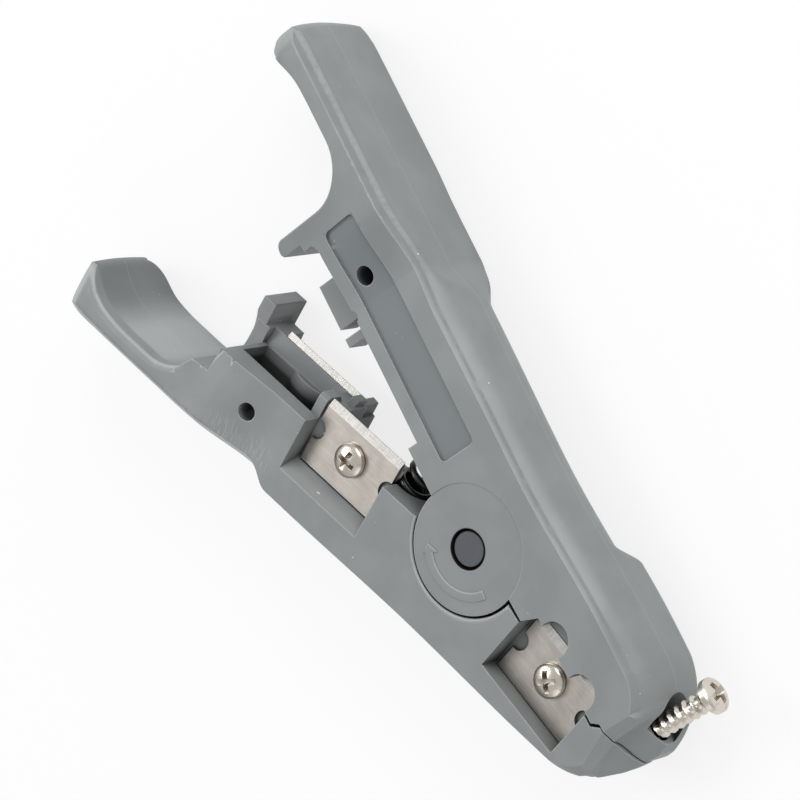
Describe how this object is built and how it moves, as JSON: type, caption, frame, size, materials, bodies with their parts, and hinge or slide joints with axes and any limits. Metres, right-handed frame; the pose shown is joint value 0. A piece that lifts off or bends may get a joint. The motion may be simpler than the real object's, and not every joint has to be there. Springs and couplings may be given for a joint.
{
  "type": "coaxial cable stripper",
  "caption": "Clothes-peg style hand stripper for round cable: sprung plastic arms on a pivot pin, screwed-down steel blades, cable notches and a screw that sets the cutting depth.",
  "frame": {"origin": "on the pivot axis, in the plane of the body's flat rear face, where the pivot pin ends flush", "axes": "+Z along the pivot axis out of the front face that carries the blades, +Y along the long arm to its grip, +X to the long arm's outer side"},
  "size_m": [0.0739, 0.127, 0.02],
  "materials": {
    "arm_plastic": "satin grey, finely textured",
    "dark_pin": "black oxide",
    "black_spring": "black, oiled",
    "blade_steel": "ground along the blade",
    "nickel_screw": "bright nickel"
  },
  "bodies": {
    "long_side": {"long_arm": "arm_plastic", "pivot_pin": "dark_pin", "return_spring": "black_spring"},
    "blade_side": {"blade_arm": "arm_plastic", "front_blade": "blade_steel", "rear_blade": "blade_steel", "tail_blade": "blade_steel", "front_blade_screw": "nickel_screw", "rear_blade_screw": "nickel_screw", "tail_blade_screw": "nickel_screw"},
    "adjuster": {"adjusting_screw": "nickel_screw"}
  },
  "joints": [
    {"name": "arm_hinge", "type": "hinge", "parent": "long_side", "child": "blade_side", "pos_m": [0, 0, 0.0075], "axis": [0, 0, 1], "range_deg": [-24, 0], "stiffness_Nm_per_rad": 0.35, "springref_deg": 34.38, "deforming": ["return_spring"]},
    {"name": "screw_feed", "type": "slide", "parent": "long_side", "child": "adjuster", "axis": [1, 0, 0], "range_m": [0, 0.003]}
  ]
}
